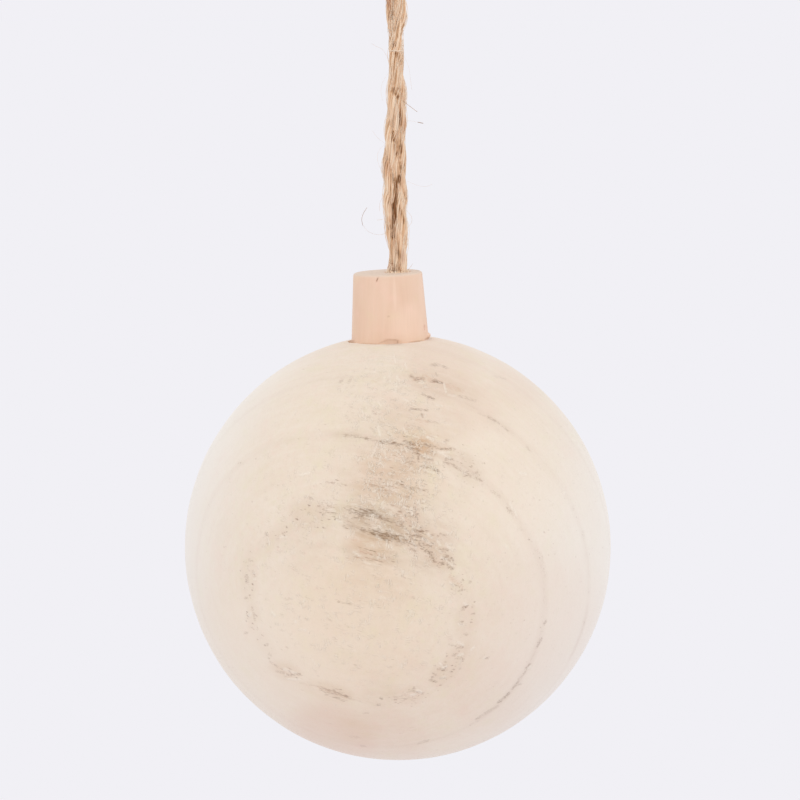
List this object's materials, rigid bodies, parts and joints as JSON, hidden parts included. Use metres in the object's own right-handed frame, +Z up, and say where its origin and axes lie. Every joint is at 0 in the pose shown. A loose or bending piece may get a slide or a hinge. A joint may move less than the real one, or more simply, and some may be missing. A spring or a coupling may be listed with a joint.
{
  "type": "hanging wooden ball",
  "caption": "Turned pale wooden ball with a tapered wooden cap glued into its top and a doubled, twisted twine loop that it hangs by.",
  "frame": {"origin": "inner top of the twine's eye, the point that the part hangs from", "axes": "+Z up along the taut twine, -Y towards the front, +X to the right seen from the front; the centre of the ball lies straight below the origin"},
  "size_m": [0.08, 0.08, 0.1691],
  "materials": {
    "ball_wood": "matte",
    "cap_wood": "satin",
    "twine": "matte"
  },
  "bodies": {
    "root": {"ball": "ball_wood", "cap": "cap_wood", "hanging_cord": "twine", "stopper_knot": "twine"}
  },
  "joints": []
}
